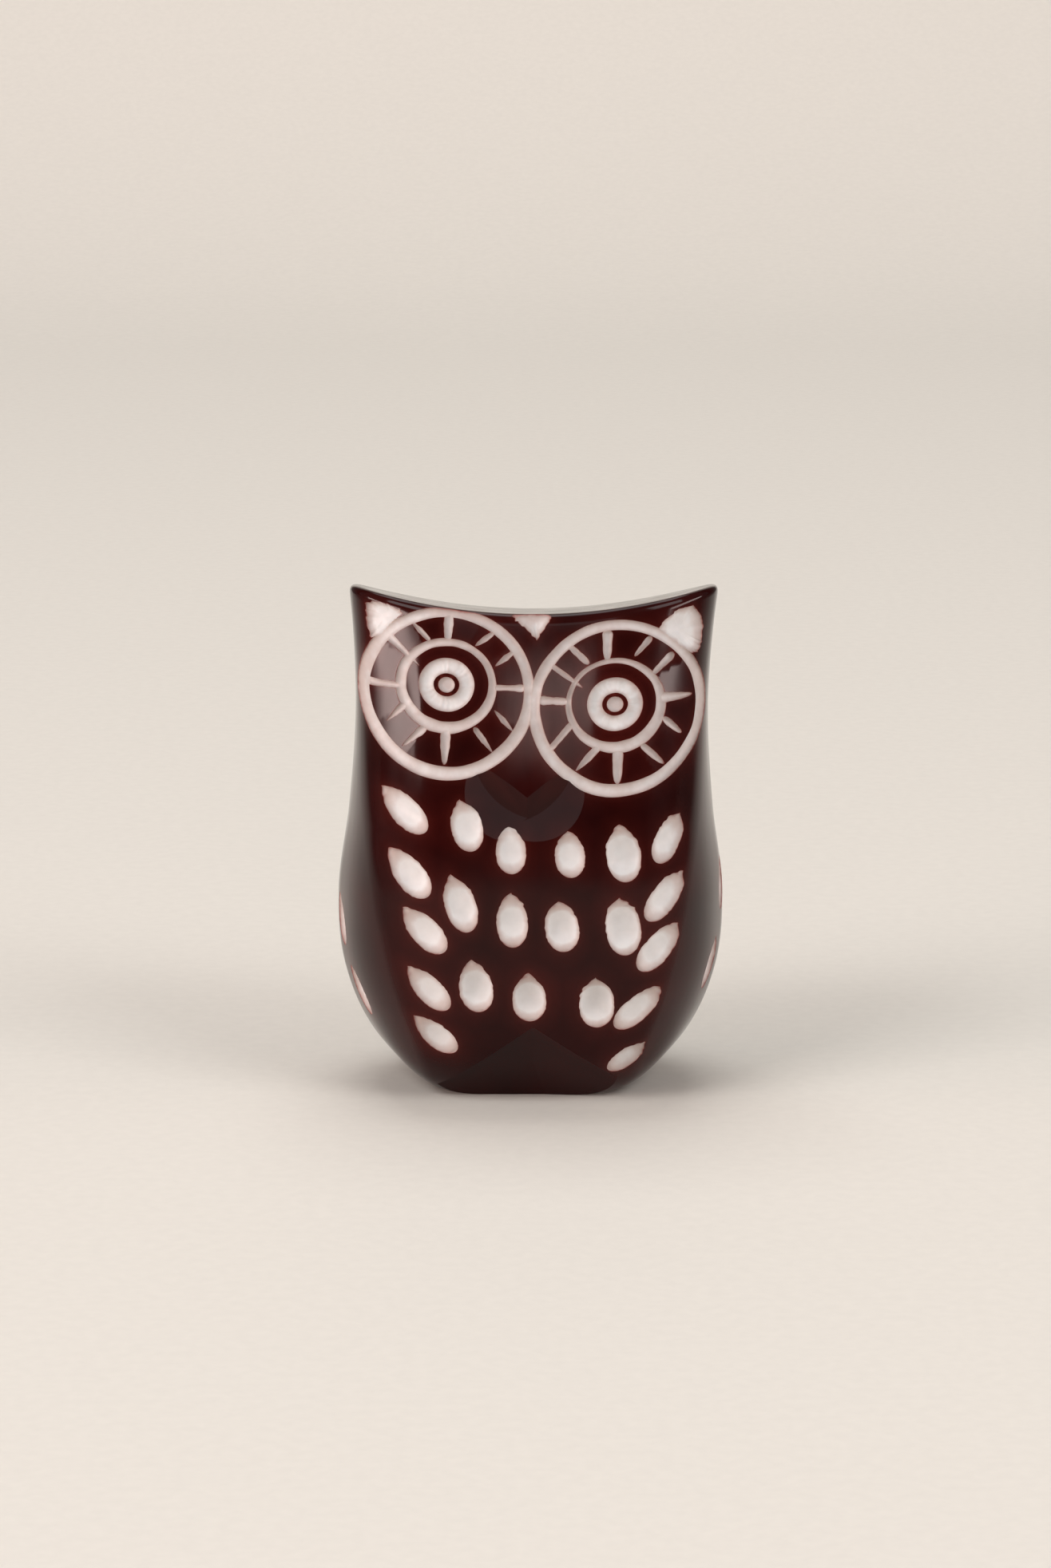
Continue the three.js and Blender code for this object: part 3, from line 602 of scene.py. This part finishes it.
def front_prism(outline):
    """A prism drawn on the front that runs forwards from the owl's axis."""
    outline = np.array(outline, float)
    count = len(outline)
    near = np.stack([outline[:, 0], np.zeros(count), outline[:, 1]], -1)
    points = np.concatenate([near, near - (0, PRISM_LENGTH, 0)])
    faces = [tuple(range(count))[::-1], tuple(range(count, 2 * count))]
    faces += [(i, (i + 1) % count, count + (i + 1) % count, count + i) for i in range(count)]
    return joined_cutter("prism", [(points, faces)], slot=FACET)


def beak_scoop(side, inset):
    """A shallow dish beside the beak, from a ball in front of the breast. The beak and the rings end it."""
    front, centre, wall = BEAK[side]
    turn = np.linspace(0, 2 * math.pi, 90, endpoint=False)
    circle = np.stack([np.cos(turn), 0 * turn, np.sin(turn)], -1)
    sections = [(centre[0], front[1] - SCOOP_FRONT, centre[2]) + SCOOP_REACH * circle]
    radius = BEAK_RADIUS + inset
    for reach in np.linspace(SCOOP_REACH, 0.05, 50):
        back = math.sqrt(radius ** 2 - reach ** 2)
        sections.append(centre + (0, back, 0) + reach * circle)
    scoop = joined_cutter("scoop", [sweep_cutter(sections, closed=False)], slot=FACET)
    boolean(scoop, box_beyond(wall, inset), "INTERSECT")
    almost_round = np.linspace(0, 6.2, 60)
    for eye in EYES.values():
        x, z, rx, rz = eye["ring"]
        oval = [(x + (rx - inset) * math.cos(a), z + (rz - inset) * math.sin(a)) for a in almost_round]
        boolean(scoop, front_prism(oval))
    return scoop


def foot_notch(inset):
    """The notch between the feet: two planes that meet in a valley, and a facet at its foot."""
    hint = (0, -1, -0.3)
    outline = [FOOT_APEX, FOOT_CORNERS[0], *FOOT_BELOW, FOOT_CORNERS[1]]
    notch = front_prism([(x, z + inset) for x, z in outline])
    for flat in (
        plane(VALLEY_TOP, VALLEY_FOOT, FOOT_LEFT, hint),
        plane(VALLEY_TOP, VALLEY_FOOT, FOOT_RIGHT, hint),
        plane(FACET_TOP, FACET_FOOT, FACET_ASIDE, hint),
    ):
        boolean(notch, box_beyond(flat, inset), "INTERSECT")
    return notch


# ---------- carving ----------

def hand_cut(mean, swing, widest):
    """Half the width of a ring at some angles, with the hand's wobble."""
    def half_width(turn):
        return (mean + swing * np.cos(turn - math.radians(widest))) / 2 * (1 + 0.05 * wave(turn, 9, 18))

    return half_width


def all_cutters():
    """The cutters, joined in groups of solids that stay clear of each other."""
    groups = []
    for eye in EYES.values():
        x, z = eye["iris"][:2]
        radius, half, depth = PUPIL_GROOVE
        pupil = (x, z, radius, radius * PUPIL_SQUASH)
        dot, dot_depth = PUPIL_DOT
        groups.append([oval_groove(eye["ring"], hand_cut(*eye["ring_width"]), GROOVE_DEPTH, 0.05)])
        groups.append([
            oval_groove(eye["iris"], hand_cut(*eye["iris_width"]), FINE_GROOVE_DEPTH, 0.03),
            oval_groove(pupil, lambda turn: np.full_like(turn, half), depth, 0.01, 96),
            bowl_cut(x, z, dot, dot * PUPIL_SQUASH, dot_depth),
        ])
        groups.append([ray_groove(eye, ray) for ray in eye["rays"]])
    front, back = (0, -1, 0), (0, 1, 0)
    seeds = [seed_cutter((x, -2, z), front, *size) for x, z, *size in BREAST_SEEDS]
    length, width = WING_SEED
    for wing, rows in ((-1, LEFT_WING_SEEDS), (1, RIGHT_WING_SEEDS)):
        for y, z, lean in rows:
            seeds.append(seed_cutter((0, y, z), (wing, 0, 0), length, width, wing * lean, HALF_BROKEN))
    length, width = BACK_SEED
    for z, count, apart in BACK_ROWS:
        for i in range(count):
            x = (i - (count - 1) / 2) * apart
            seeds.append(seed_cutter((x, 0, z), back, length, width, 0, HALF_BROKEN))
    groups.append(seeds)
    groups.append([gouged_patch(outline, GOUGE_DEPTH) for outline in (LEFT_EAR, RIGHT_EAR, BROW)])
    return [joined_cutter("cutter", solids) for solids in groups]


def shaped_blank(name, inset, grid):
    """The blank with its beak and feet, drawn in by the inset."""
    blank = blank_mesh(name, inset, *grid)
    add_slots(blank)
    for tool in (beak_scoop(0, inset), beak_scoop(1, inset), foot_notch(inset)):
        boolean(blank, tool)
    return blank


skin = shaped_blank("skin", 0.0, SKIN_GRID)
core = shaped_blank("core", DYE_DEPTH, CORE_GRID)
boolean(skin, core)
for cutter in all_cutters():
    boolean(skin, cutter)
    boolean(core, cutter)


# ---------- pieces ----------

def arrays(mesh):
    """Points in millimetres, point numbers of the face corners, and each face's size and slot."""
    points = np.empty(len(mesh.vertices) * 3)
    mesh.vertices.foreach_get("co", points)
    loops = np.empty(len(mesh.loops), np.int64)
    mesh.loops.foreach_get("vertex_index", loops)
    sizes = np.empty(len(mesh.polygons), np.int64)
    mesh.polygons.foreach_get("loop_total", sizes)
    slots = np.empty(len(mesh.polygons), np.int64)
    mesh.polygons.foreach_get("material_index", slots)
    return points.reshape(-1, 3) / MM, loops, sizes, slots


def islands(count, loops, sizes):
    """The lowest point number in each connected part, for every point."""
    label = np.arange(count)
    firsts = np.repeat(np.cumsum(sizes) - sizes, sizes)
    a, b = loops, loops[firsts]
    while True:
        low = np.minimum(label[a], label[b])
        fresh = label.copy()
        np.minimum.at(fresh, a, low)
        np.minimum.at(fresh, b, low)
        fresh = fresh[fresh]
        if (fresh == label).all():
            return label
        label = fresh


def hour_of(dx, dz):
    """Where a direction points on a clock face."""
    return (3 - np.degrees(np.arctan2(dz, dx)) / 30) % 12


def oval_reach(points, oval):
    """How far out points lie, as a share of an oval's half sizes."""
    x, z, rx, rz = oval
    return np.hypot((points[:, 0] - x) / rx, (points[:, 2] - z) / rz)


def node_for(points):
    """The name of the node that a loose part of the skin belongs to."""
    middle = (points.min(0) + points.max(0)) / 2
    for side, eye in EYES.items():
        reach = oval_reach(points, eye["iris"]).max()
        if reach < 0.5:
            return f"{side}_pupil_ring"
        if reach < 1.0:
            return f"{side}_iris_band"
        if oval_reach(middle[None], eye["ring"])[0] < RING_SHARE:
            x, z = eye["iris"][:2]
            hour = hour_of(points[:, 0].mean() - x, points[:, 2].mean() - z)
            for place, start, end in eye["fields"]:
                if start <= hour < end or start <= hour + 12 < end:
                    return f"{side}_eye_{place}_field"
    return "dyed_skin"


def sharp_edges(mesh, flats, slots):
    """Edges between two slots, and edges that turn by more than their slot allows. Both stay sharp."""
    edge_faces = [[] for _ in mesh.edges]
    for polygon in mesh.polygons:
        for loop in polygon.loop_indices:
            edge_faces[mesh.loops[loop].edge_index].append(polygon.index)
    pairs = np.array([pair if len(pair) == 2 else (0, 0) for pair in edge_faces])
    turn = (flats[pairs[:, 0]] * flats[pairs[:, 1]]).sum(1)
    kinds = slots[pairs]
    limit = np.where(kinds[:, 0] == FACET, math.cos(FACET_EDGE), math.cos(CUT_EDGE))
    return (kinds[:, 0] != kinds[:, 1]) | (turn < limit)


def corner_normals(points, loops, sizes, slots, flats):
    """Smooth normals on the polish, one direction on the beak's dishes. Zero leaves the rest to Blender."""
    normals = np.zeros((len(loops), 3))
    polished = np.repeat(slots == POLISHED, sizes)
    outside = polished & (np.abs(body_field(points)[loops]) < NEAR_SURFACE)
    around = flattened_fields(points, gradient(body_field, points))
    normals[outside] = around[loops[outside]]
    firsts = loops[np.cumsum(sizes) - sizes]
    dishes = (slots == FACET) & (flats[:, 2] > NOT_DOWNWARDS) & (points[firsts, 2] > DISH_BOTTOM)
    normals[np.repeat(dishes, sizes)] = DISH_FACING
    return normals


def finished_piece(name, points, loops, sizes, slots, cut_points):
    """A shaded mesh that stores each point's depth in the blank and its distance from the nearest cut."""
    used, loops = np.unique(loops, return_inverse=True)
    points = points[used]
    starts = np.cumsum(sizes) - sizes
    faces = [loops[a:a + n].tolist() for a, n in zip(starts, sizes)]
    mesh = bpy.data.meshes.new(name)
    mesh.from_pydata((points * MM).tolist(), [], faces)
    mesh.polygons.foreach_set("material_index", slots.astype(np.int32))
    mesh.polygons.foreach_set("use_smooth", np.ones(len(faces), bool))
    depth = mesh.attributes.new("depth", "FLOAT", "POINT")
    depth.data.foreach_set("value", -body_field(points))
    near = mesh.attributes.new("near_cut", "FLOAT", "POINT")
    near.data.foreach_set("value", [cut_points.find(point)[2] for point in points])
    flats = np.empty(len(faces) * 3)
    mesh.polygons.foreach_get("normal", flats)
    flats = flats.reshape(-1, 3)
    sharp = sharp_edges(mesh, flats, slots)
    mesh.attributes.new("sharp_edge", "BOOLEAN", "EDGE").data.foreach_set("value", sharp)
    mesh.normals_split_custom_set(corner_normals(points, loops, sizes, slots, flats).tolist())
    piece = bpy.data.objects.new(name, mesh)
    bpy.context.scene.collection.objects.link(piece)
    return piece


def flattened_fields(points, normals):
    """The polished fields between the rays are nearly flat, and some of them tip upwards."""
    normals = normals.copy()
    for side, eye in EYES.items():
        x, z = eye["iris"][:2]
        hours = hour_of(points[:, 0] - x, points[:, 2] - z)
        between = (oval_reach(points, eye["iris"]) > 1) & (oval_reach(points, eye["ring"]) < 1)
        between &= points[:, 1] < 0
        for hour in range(12):
            chosen = between & (hours >= hour) & (hours < hour + 1)
            if chosen.any():
                flat = unit(normals[chosen].mean(0))
                mixed = unit(normals[chosen] * (1 - FIELD_FLATNESS) + flat * FIELD_FLATNESS)
                mixed[:, 2] += math.tan(math.radians(FIELD_TIPS.get((side, hour), 0.0)))
                normals[chosen] = unit(mixed)
    return normals


def cut_tree(points, loops, sizes, slots):
    """The points of the cut faces that lie at the polished surface."""
    on_cut = np.unique(loops[np.repeat(slots == CUT, sizes)])
    rim = on_cut[np.abs(body_field(points[on_cut])) < NEAR_SURFACE]
    tree = KDTree(len(rim))
    for i, point in enumerate(points[rim]):
        tree.insert(point, i)
    tree.balance()
    return tree


def fine_pieces():
    """One piece for each CAD node, by the node's name."""
    points, loops, sizes, slots = arrays(skin.data)
    cut_points = cut_tree(points, loops, sizes, slots)
    label = islands(len(points), loops, sizes)
    face_label = label[loops[np.cumsum(sizes) - sizes]]
    owned = {}
    for part in np.unique(face_label):
        owned.setdefault(node_for(points[label == part]), []).append(part)
    made = {}
    for name, parts in owned.items():
        chosen = np.isin(face_label, parts)
        corners = loops[np.repeat(chosen, sizes)]
        made[name] = finished_piece("fine_" + name, points, corners, sizes[chosen], slots[chosen], cut_points)
    made["carved_core"] = finished_piece("fine_carved_core", *arrays(core.data), cut_points)
    return made


pieces = fine_pieces()
spares = ("skin", "core", "cutter", "scoop", "block", "prism")
for spare in [thing for thing in bpy.context.scene.objects if thing.name.split(".")[0] in spares]:
    bpy.data.objects.remove(spare)


# ---------- materials ----------

PAINTED_GLOW_REACH = 1.6            # painted glow: the dye is painted redder up to this far from a cut, for light shining through from the nut
STAIN_AND_SHADE_DEPTH = 0.6           # the nut is stained, and painted darker as shade, down to this depth
CLEAR = (0.3, 0.7)        # the part of a noise's range that is used


def new_material(name):
    material = bpy.data.materials.new(name)
    material.use_nodes = True
    tree = material.node_tree
    tree.nodes.clear()
    shader = tree.nodes.new("ShaderNodeBsdfPrincipled")
    output = tree.nodes.new("ShaderNodeOutputMaterial")
    tree.links.new(shader.outputs["BSDF"], output.inputs["Surface"])
    return material, tree, shader


def node(tree, kind, inputs=None, **settings):
    """A shader node. Each input is a value or the socket that feeds it."""
    made = tree.nodes.new(kind)
    for key, value in settings.items():
        setattr(made, key, value)
    for key, value in (inputs or {}).items():
        if isinstance(value, bpy.types.NodeSocket):
            tree.links.new(value, made.inputs[key])
        else:
            made.inputs[key].default_value = value
    return made


def attribute(tree, name):
    return node(tree, "ShaderNodeAttribute", attribute_name=name).outputs["Fac"]


def ramp(tree, value, stops):
    """A colour from a value, by (place, colour) stops."""
    made = node(tree, "ShaderNodeValToRGB", {"Fac": value})
    elements = made.color_ramp.elements
    while len(elements) < len(stops):
        elements.new(0.5)
    for element, (place, color) in zip(elements, stops):
        element.position = place
        element.color = (*color, 1)
    return made.outputs["Color"]


def object_noise(tree, scale, detail=3.0, stretch=(1, 1, 1)):
    place = node(tree, "ShaderNodeTexCoord").outputs["Object"]
    place = node(tree, "ShaderNodeMapping", {"Vector": place, "Scale": stretch}).outputs["Vector"]
    inputs = {"Vector": place, "Scale": scale, "Detail": detail}
    return node(tree, "ShaderNodeTexNoise", inputs).outputs["Fac"]


def scaled(tree, color, factor):
    inputs = {0: color, "Scale": factor}
    return node(tree, "ShaderNodeVectorMath", inputs, operation="SCALE").outputs["Vector"]


def remap(tree, value, low, high, out_low, out_high):
    return node(tree, "ShaderNodeMapRange", {
        "Value": value, "From Min": low, "From Max": high, "To Min": out_low, "To Max": out_high,
    }).outputs["Result"]


def dyed_material():
    """Dark red-brown dye under polish, with faint smears and scratches, and a painted glow near the cuts."""
    material, tree, shader = new_material("dyed_skin_polish")
    near = remap(tree, attribute(tree, "near_cut"), 0.0, PAINTED_GLOW_REACH, 0.0, 1.0)
    # painted glow: the dye is redder near a cut, standing in for light from the pale nut shining through the
    # thin skin
    painted_glow = ramp(tree, near, [
        (0.0, (0.07, 0.01, 0.007)), (0.04, (0.036, 0.0042, 0.003)),
        (0.3, (0.026, 0.0024, 0.0018)), (1.0, (0.018, 0.0012, 0.001)),
    ])
    cloud = remap(tree, object_noise(tree, 160.0), *CLEAR, 0.65, 1.3)
    tree.links.new(scaled(tree, painted_glow, cloud), shader.inputs["Base Color"])
    smear = object_noise(tree, 420.0, 4.0, (1.0, 1.0, 0.35))
    tree.links.new(remap(tree, smear, 0.3, 0.75, 0.07, 0.16), shader.inputs["Roughness"])
    scratch = object_noise(tree, 2600.0, 2.0, (1.0, 1.0, 0.12))
    bump = node(tree, "ShaderNodeBump", {"Strength": 0.05, "Distance": 0.00002, "Height": scratch})
    tree.links.new(bump.outputs["Normal"], shader.inputs["Normal"])
    shader.inputs["IOR"].default_value = 1.5
    shader.inputs["Specular IOR Level"].default_value = 0.16
    return material


def nut_material():
    """Pale nut ivory, stained where a cut passes through the end of the dye, with painted shade that greys it
    at a ring groove's depth, and the gouge's chatter.
    """
    material, tree, shader = new_material("cut_nut_ivory")
    wander = remap(tree, object_noise(tree, 1500.0), *CLEAR, -0.03, 0.03)
    inputs = {0: attribute(tree, "depth"), 1: wander}
    depth = node(tree, "ShaderNodeMath", inputs, operation="ADD").outputs["Value"]
    # a stain of dye next to the skin, and below it painted shade: the greyer middle of the ramp darkens the
    # shallow ring grooves
    shade = ramp(tree, remap(tree, depth, 0.0, STAIN_AND_SHADE_DEPTH, 0.0, 1.0), [
        (0.0, (0.16, 0.035, 0.025)), (0.09, (0.34, 0.19, 0.17)), (0.2, (0.43, 0.34, 0.31)),
        (0.52, (0.55, 0.49, 0.47)), (0.76, (0.69, 0.685, 0.68)),
    ])
    cloud = remap(tree, object_noise(tree, 900.0), *CLEAR, 0.94, 1.04)
    tree.links.new(scaled(tree, shade, cloud), shader.inputs["Base Color"])
    tree.links.new(remap(tree, object_noise(tree, 700.0), *CLEAR, 0.34, 0.52), shader.inputs["Roughness"])
    shader.inputs["Subsurface Weight"].default_value = 0.25
    shader.inputs["Subsurface Radius"].default_value = (1.0, 0.7, 0.6)
    shader.inputs["Subsurface Scale"].default_value = 0.0006
    chatter = object_noise(tree, 1800.0, 3.0)
    bump = node(tree, "ShaderNodeBump", {"Strength": 0.25, "Distance": 0.00004, "Height": chatter})
    tree.links.new(bump.outputs["Normal"], shader.inputs["Normal"])
    return material


dyed, nut = dyed_material(), nut_material()
for name, piece in pieces.items():
    by_slot = (nut, nut, nut) if name == "carved_core" else (dyed, nut, dyed)
    for material in by_slot:
        piece.data.materials.append(material)
    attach(piece, "root")
    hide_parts(name)


# ---------- the setting, in metres ----------

PAPER_PALE = 0.14         # the paper is pale up to here to the sides and in front
PAPER_PAINTED_DARK = 0.26         # and painted grey from here on as painted shade, so that the polish reflects dark surroundings
FLOOR_BACK = 0.45         # where the floor starts to curve up
FLOOR_CURVE = 0.35
PAPER_HALF_WIDTH = 1.6
WALL_TOP = 1.6
OWL_BASE = (0, 0, 0.02)
OWL_FACE = (0, 0, 0.03)
VIEW_AIM = (-0.000375, 0.0, 0.023625)
VIEW_RISE = math.radians(12.0)
VIEW_DISTANCE = 0.42
VIEW_LENS = 123.2         # focal length and sensor width in millimetres
VIEW_SENSOR = 36.0


def paper_material():
    material, tree, shader = new_material("backdrop_paper")
    grain = remap(tree, object_noise(tree, 900.0, 2.0), *CLEAR, 0.985, 1.015)
    place = node(tree, "ShaderNodeTexCoord").outputs["Object"]
    parts = node(tree, "ShaderNodeSeparateXYZ", {"Vector": place})
    aside = node(tree, "ShaderNodeMath", {0: parts.outputs["X"]}, operation="ABSOLUTE").outputs["Value"]
    aside = remap(tree, aside, PAPER_PALE, PAPER_PAINTED_DARK, 0.0, 1.0)
    ahead = remap(tree, parts.outputs["Y"], -PAPER_PALE, -PAPER_PAINTED_DARK, 0.0, 1.0)
    away = node(tree, "ShaderNodeMath", {0: aside, 1: ahead}, operation="MAXIMUM").outputs["Value"]
    # painted shade: the paper is painted grey away from the owl, for the dark surroundings that the polish
    # reflects
    paper_and_painted_shade = ramp(tree, away, [(0.0, (0.75, 0.713, 0.65)), (1.0, (0.16, 0.15, 0.14))])
    tree.links.new(scaled(tree, paper_and_painted_shade, grain), shader.inputs["Base Color"])
    shader.inputs["Roughness"].default_value = 0.9
    shader.inputs["Specular IOR Level"].default_value = 0.2
    return material


def backdrop():
    """A floor that curves up into a wall behind."""
    profile = [(-0.9, 0.0), (-0.4, 0.0), (0.0, 0.0), (FLOOR_BACK, 0.0)]
    for turn in np.linspace(0.1, math.pi / 2, 24):
        back, up = FLOOR_CURVE * math.sin(turn), FLOOR_CURVE - FLOOR_CURVE * math.cos(turn)
        profile.append((FLOOR_BACK + back, up))
    profile.append((FLOOR_BACK + FLOOR_CURVE, WALL_TOP))
    points = [(x, y, z) for y, z in profile for x in (-PAPER_HALF_WIDTH, PAPER_HALF_WIDTH)]
    faces = [(2 * i, 2 * i + 1, 2 * i + 3, 2 * i + 2) for i in range(len(profile) - 1)]
    floor = mesh_object("backdrop", np.array(points) / MM, faces)
    floor.data.polygons.foreach_set("use_smooth", np.ones(len(faces), bool))
    floor.data.materials.append(paper_material())


def area_light(name, place, target, size, power, color=(1, 1, 1)):
    data = bpy.data.lights.new(name, "AREA")
    data.shape = "RECTANGLE"
    data.size, data.size_y = size
    data.energy = power
    data.color = color
    lamp = bpy.data.objects.new(name, data)
    lamp.location = place
    lamp.rotation_euler = (Vector(target) - Vector(place)).to_track_quat("-Z", "Y").to_euler()
    bpy.context.scene.collection.objects.link(lamp)


def world_light():
    """A dim room, darkest low down behind the camera."""
    world = bpy.data.worlds.new("room")
    world.use_nodes = True
    bpy.context.scene.world = world
    tree = world.node_tree
    background = tree.nodes["Background"]
    way = node(tree, "ShaderNodeTexCoord").outputs["Generated"]
    parts = node(tree, "ShaderNodeSeparateXYZ", {"Vector": way})
    away_from_camera = remap(tree, parts.outputs["Y"], -0.95, -0.45, 0.0, 1.0)
    height = remap(tree, parts.outputs["Z"], 0.1, 0.6, 0.0, 1.0)
    brighter = {0: away_from_camera, 1: height}
    open_sky = node(tree, "ShaderNodeMath", brighter, operation="MAXIMUM").outputs["Value"]
    shade = ramp(tree, open_sky, [(0.0, (0.3, 0.3, 0.3)), (1.0, (0.8, 0.8, 0.8))])
    tree.links.new(shade, background.inputs["Color"])
    background.inputs["Strength"].default_value = 0.25


def camera():
    data = bpy.data.cameras.new("camera")
    data.lens = VIEW_LENS
    data.sensor_width = VIEW_SENSOR
    data.clip_start = 0.01
    view = bpy.data.objects.new("camera", data)
    aim = Vector(VIEW_AIM)
    view.location = aim + VIEW_DISTANCE * Vector((0.0, -math.cos(VIEW_RISE), math.sin(VIEW_RISE)))
    view.rotation_euler = (aim - view.location).to_track_quat("-Z", "Y").to_euler()
    bpy.context.scene.collection.objects.link(view)
    bpy.context.scene.camera = view


backdrop()
world_light()
area_light("key_softbox", (-0.604, -0.604, 0.79), OWL_BASE, (0.5, 0.5), 4.2)
area_light("fill_softbox", (0.673, -0.606, 0.73), OWL_BASE, (0.5, 0.5), 3.5)
# The strips, the card and the bounce are what the side walls, the fields and the dishes mirror.
area_light("left_strip", (-0.82, -0.39, 0.17), OWL_FACE, (0.9, 0.1), 6.0, (1.0, 0.78, 0.73))
area_light("right_strip", (0.86, -0.28, 0.17), OWL_FACE, (0.76, 0.1), 3.0, (1.0, 0.84, 0.8))
area_light("front_card", (0.045, -0.62, 0.145), OWL_FACE, (0.14, 0.066), 0.18, (1.0, 0.75, 0.7))
area_light("front_bounce", (0.0, -0.62, 0.27), OWL_FACE, (0.34, 0.09), 0.12)
area_light("overhead_softbox", (-0.05, 0.34, 1.1), OWL_BASE, (0.7, 0.7), 5.4)
camera()
bpy.context.scene.view_settings.view_transform = "Standard"
